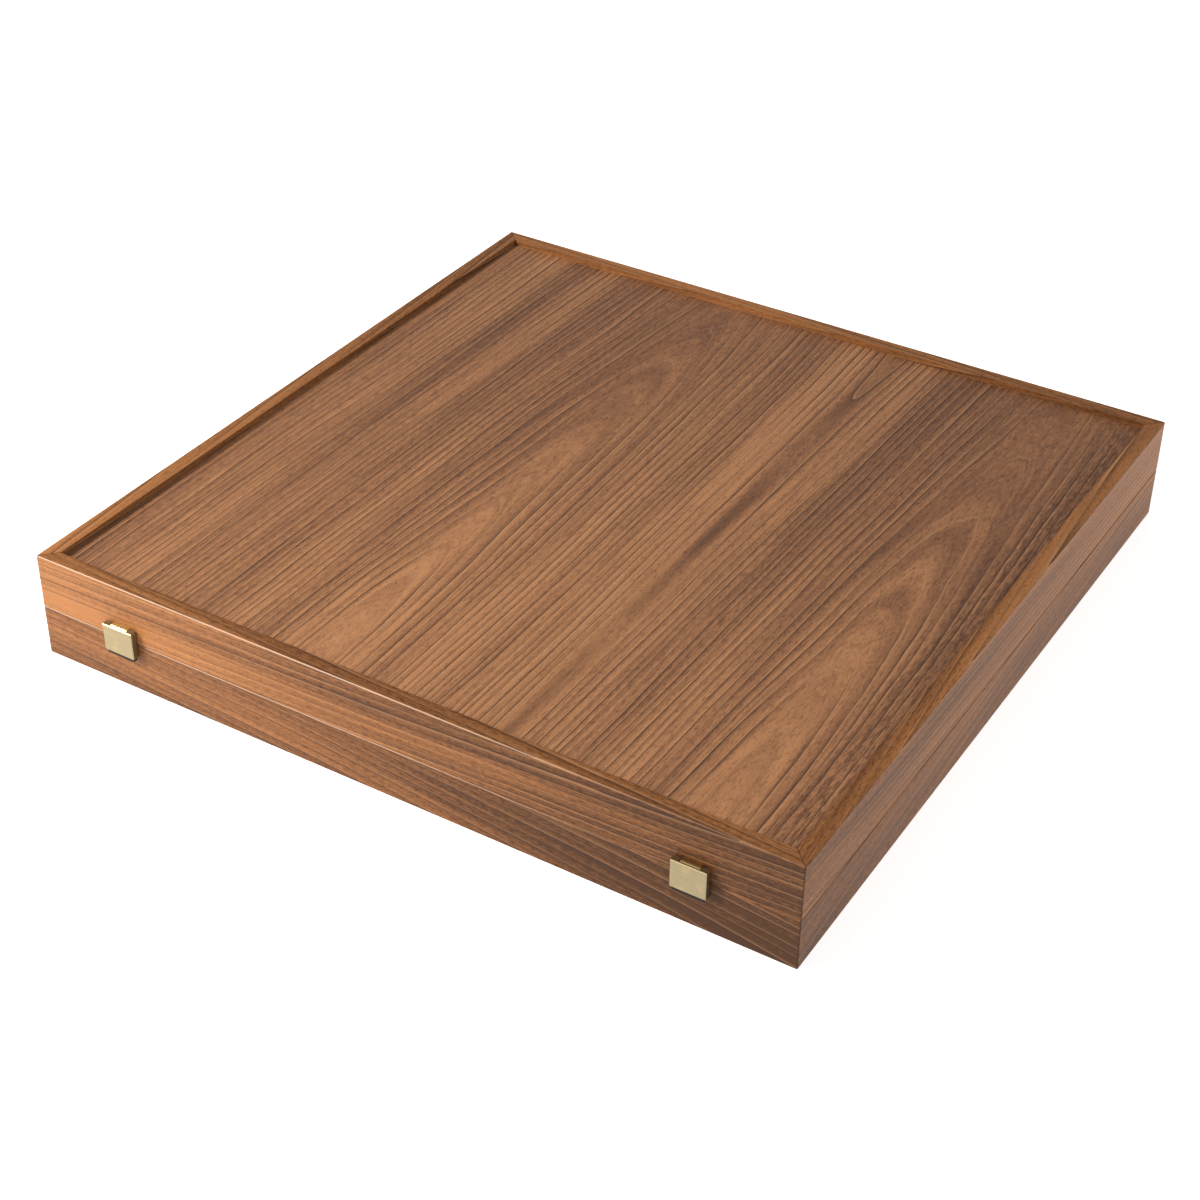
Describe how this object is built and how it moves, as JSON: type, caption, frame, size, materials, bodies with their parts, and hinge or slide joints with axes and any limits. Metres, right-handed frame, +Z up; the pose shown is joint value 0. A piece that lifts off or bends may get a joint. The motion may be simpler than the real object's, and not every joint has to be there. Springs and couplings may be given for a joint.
{
  "type": "chess set in a folding wooden case",
  "caption": "Square hinged wooden case with brass flap clasps, holding a playing board under the lid and chessmen lying in foam trays.",
  "frame": {"origin": "middle of the footprint, on the table under the base rails", "axes": "+Z up, the two clasps face -Y, the hinges are at +Y"},
  "size_m": [0.5, 0.5104, 0.069],
  "materials": {
    "case_walnut": "walnut, satin lacquer",
    "panel_walnut": "walnut, satin lacquer",
    "board_walnut": "dark walnut, satin lacquer",
    "board_core": "plain board, unfinished back",
    "ribbon": "satin ribbon",
    "steel": "bright steel",
    "satin_brass": "satin brass, fine brush marks",
    "dark_men": "dark walnut, polished",
    "green_felt": "green felt",
    "green_foam": "flocked foam, deep green",
    "magnet": "nickel-plated magnet",
    "black_plastic": "black moulded plastic",
    "light_men": "boxwood, polished",
    "board_maple": "pale maple, satin lacquer"
  },
  "bodies": {
    "base": {"base_back_rail": "case_walnut", "base_front_rail": "case_walnut", "base_left_rail": "case_walnut", "base_panel": "panel_walnut", "base_right_rail": "case_walnut", "clasp_keeper_screws": "satin_brass", "dark_bishops": "dark_men", "dark_king": "dark_men", "dark_knights": "dark_men", "dark_men_felts": "green_felt", "dark_men_tray": "green_foam", "dark_pawns": "dark_men", "dark_queen": "dark_men", "dark_rooks": "dark_men", "hinge_base_screws": "satin_brass", "left_clasp_keeper": "steel", "left_hinge_base_leaf": "satin_brass", "left_hinge_pin": "steel", "light_bishops": "light_men", "light_king": "light_men", "light_knights": "light_men", "light_men_felts": "green_felt", "light_men_tray": "green_foam", "light_pawns": "light_men", "light_queen": "light_men", "light_rooks": "light_men", "right_clasp_keeper": "steel", "right_hinge_base_leaf": "satin_brass", "right_hinge_pin": "steel", "tray_base_sheet": "green_foam"},
    "lid": {"board_back_border": "board_walnut", "board_core": "board_core", "board_front_border": "board_walnut", "board_left_border": "board_walnut", "board_ribbon": "ribbon", "board_right_border": "board_walnut", "board_steel_discs": "steel", "clasp_plate_screws": "satin_brass", "dark_squares": "board_walnut", "hinge_lid_screws": "satin_brass", "left_clasp_plate": "satin_brass", "left_hinge_lid_leaf": "satin_brass", "lid_back_rail": "case_walnut", "lid_front_rail": "case_walnut", "lid_left_rail": "case_walnut", "lid_magnets": "magnet", "lid_panel": "panel_walnut", "lid_right_rail": "case_walnut", "light_squares": "board_maple", "right_clasp_plate": "satin_brass", "right_hinge_lid_leaf": "satin_brass"},
    "left_flap": {"left_clasp_flap": "satin_brass", "left_clasp_pin": "steel", "left_magnet_carrier": "black_plastic", "left_clasp_magnets": "magnet"},
    "right_flap": {"right_clasp_flap": "satin_brass", "right_clasp_pin": "steel", "right_magnet_carrier": "black_plastic", "right_clasp_magnets": "magnet"}
  },
  "joints": [
    {"name": "lid_hinge", "type": "hinge", "parent": "base", "child": "lid", "pos_m": [0, 0.2527, 0.0334], "axis": [-1, 0, 0], "range_deg": [0, 95]},
    {"name": "left_clasp_pivot", "type": "hinge", "parent": "lid", "child": "left_flap", "pos_m": [-0.188, -0.2521, 0.042], "axis": [-1, 0, 0], "range_deg": [0, 90]},
    {"name": "right_clasp_pivot", "type": "hinge", "parent": "lid", "child": "right_flap", "pos_m": [0.188, -0.2521, 0.042], "axis": [-1, 0, 0], "range_deg": [0, 90]}
  ]
}
